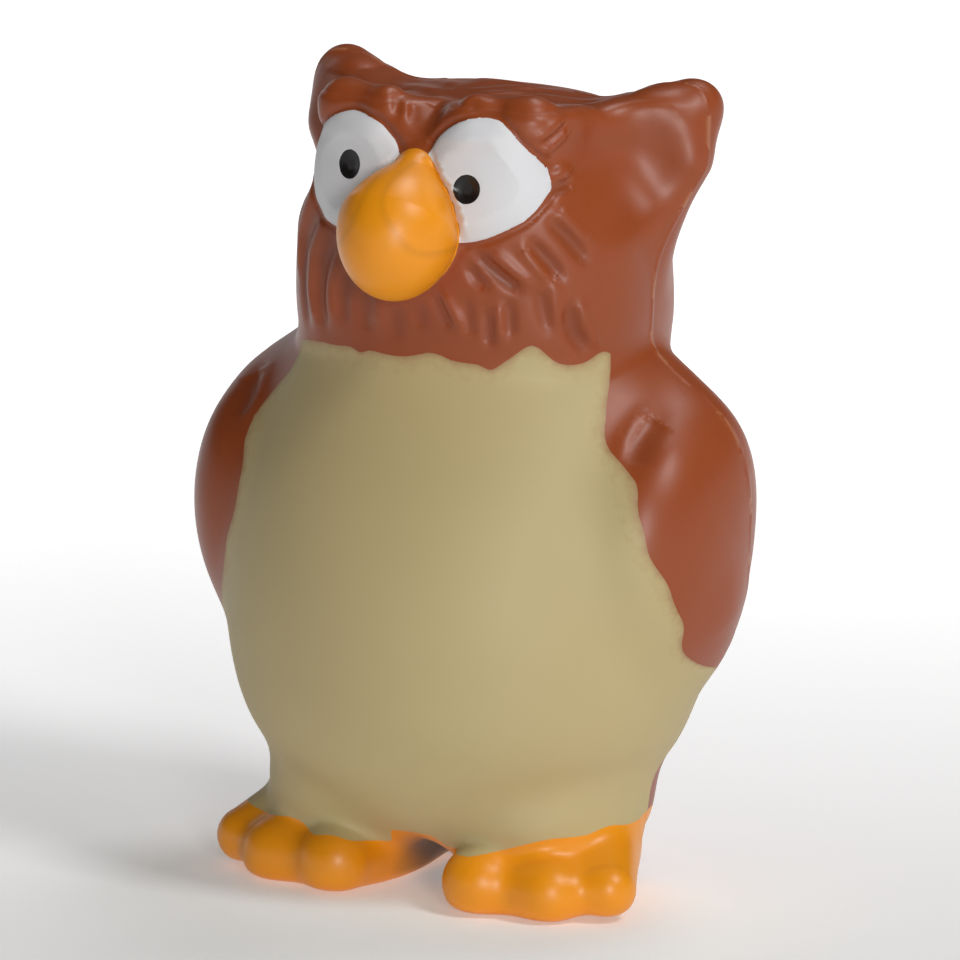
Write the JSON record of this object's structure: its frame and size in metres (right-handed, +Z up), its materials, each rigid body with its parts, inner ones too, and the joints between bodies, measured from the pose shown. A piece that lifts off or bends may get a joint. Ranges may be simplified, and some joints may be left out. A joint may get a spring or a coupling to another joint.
{
  "type": "foam squeeze toy",
  "caption": "Standing owl squeeze toy with a round belly, folded wings, ear tufts, drooping beak and three-toed feet; soft foam core under a painted skin.",
  "frame": {"origin": "on the floor under the toy, in its plane of symmetry, midway between the front of the belly and the back of the tail", "axes": "+Z up, the face looks along -Y, +X is the owl's own left side"},
  "size_m": [0.0656, 0.0532, 0.09],
  "materials": {
    "foam": "matte",
    "brown_paint": "satin",
    "tan_paint": "satin",
    "orange_paint": "satin",
    "white_paint": "satin",
    "black_paint": "satin"
  },
  "bodies": {
    "root": {"foam_core": "foam", "head_skin": "brown_paint", "belly_skin": "tan_paint", "back_skin": "brown_paint", "tail_skin": "brown_paint", "left_wing_skin": "brown_paint", "right_wing_skin": "brown_paint", "left_foot_skin": "orange_paint", "right_foot_skin": "orange_paint", "beak_skin": "orange_paint", "left_eye_patch": "white_paint", "right_eye_patch": "white_paint", "left_pupil": "black_paint", "right_pupil": "black_paint"}
  },
  "joints": []
}
